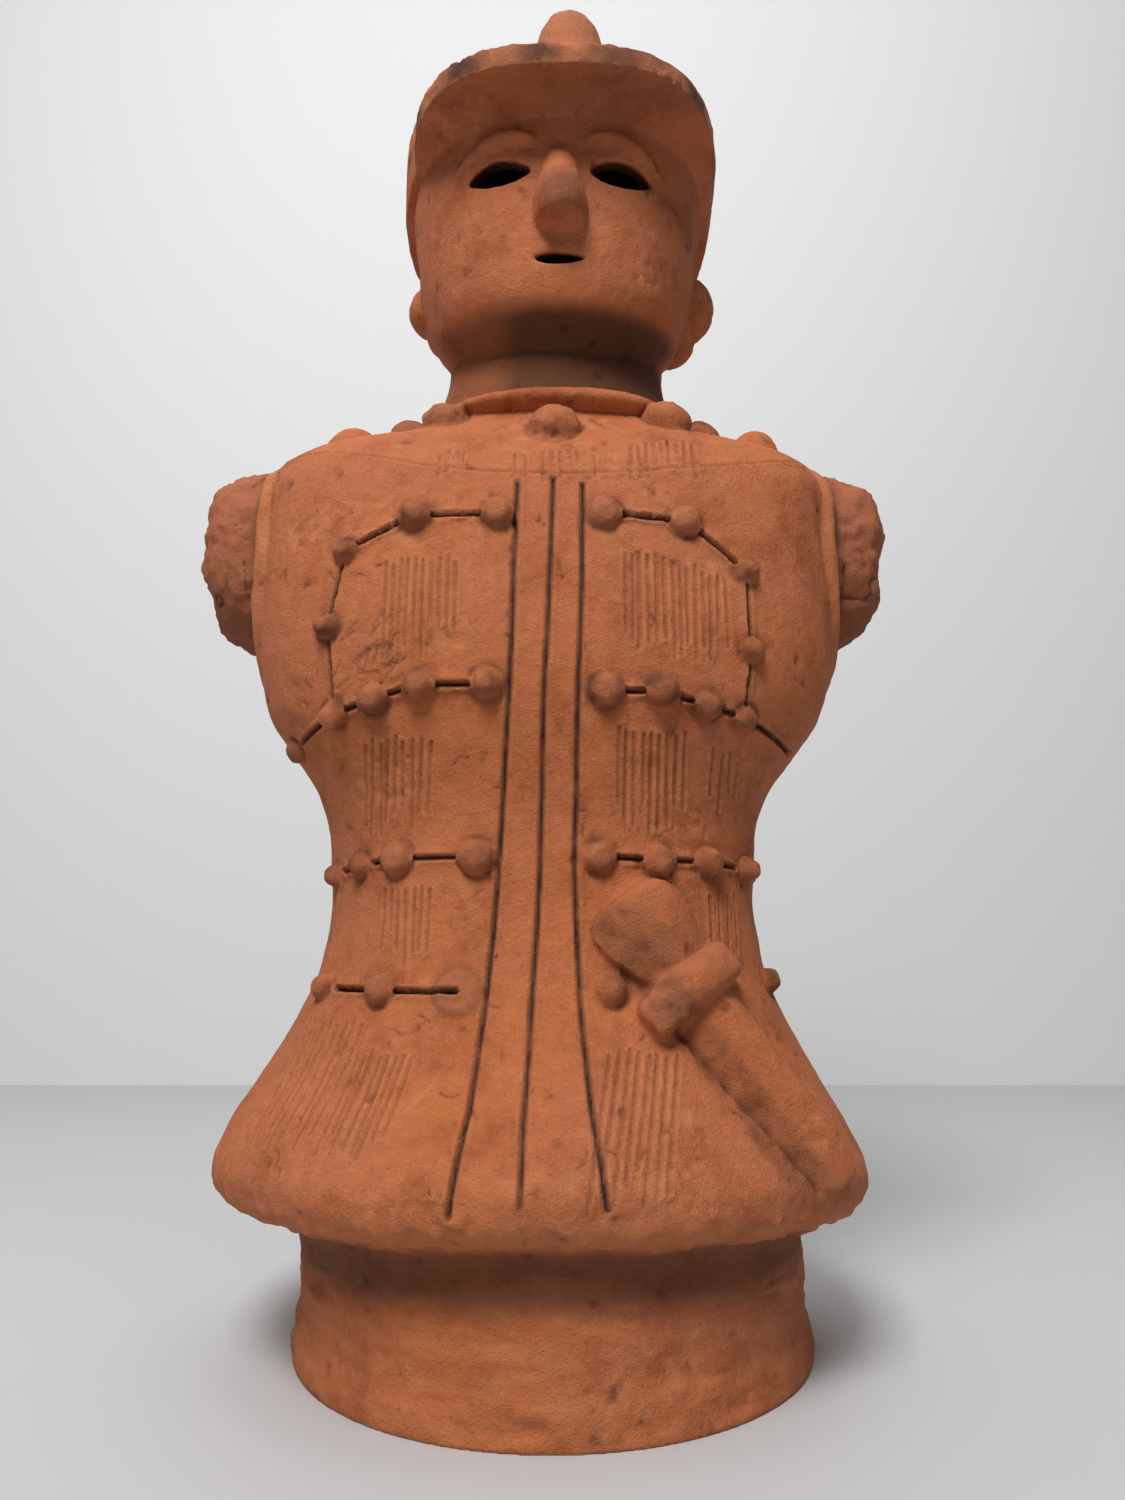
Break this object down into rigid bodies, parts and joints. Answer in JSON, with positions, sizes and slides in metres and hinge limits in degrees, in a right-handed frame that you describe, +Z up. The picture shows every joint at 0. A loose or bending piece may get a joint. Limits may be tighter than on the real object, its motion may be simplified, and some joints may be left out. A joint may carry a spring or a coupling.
{
  "type": "haniwa figure",
  "caption": "Hollow fired-clay haniwa of a standing warrior in a visored helmet and studded jacket, with broken arms, a sword on the hip and a round open foot.",
  "frame": {"origin": "on the surface the foot stands on, under the middle of the bounding box", "axes": "+Z up, +X towards the figure's left arm, -Y the way the figure faces"},
  "size_m": [0.3658, 0.2776, 0.719],
  "materials": {
    "fired_clay": "matt unglazed low-fired clay with grey-brown wear and dark dirt in the incised lines"
  },
  "bodies": {
    "root": {"haniwa_figure": "fired_clay"}
  },
  "joints": []
}
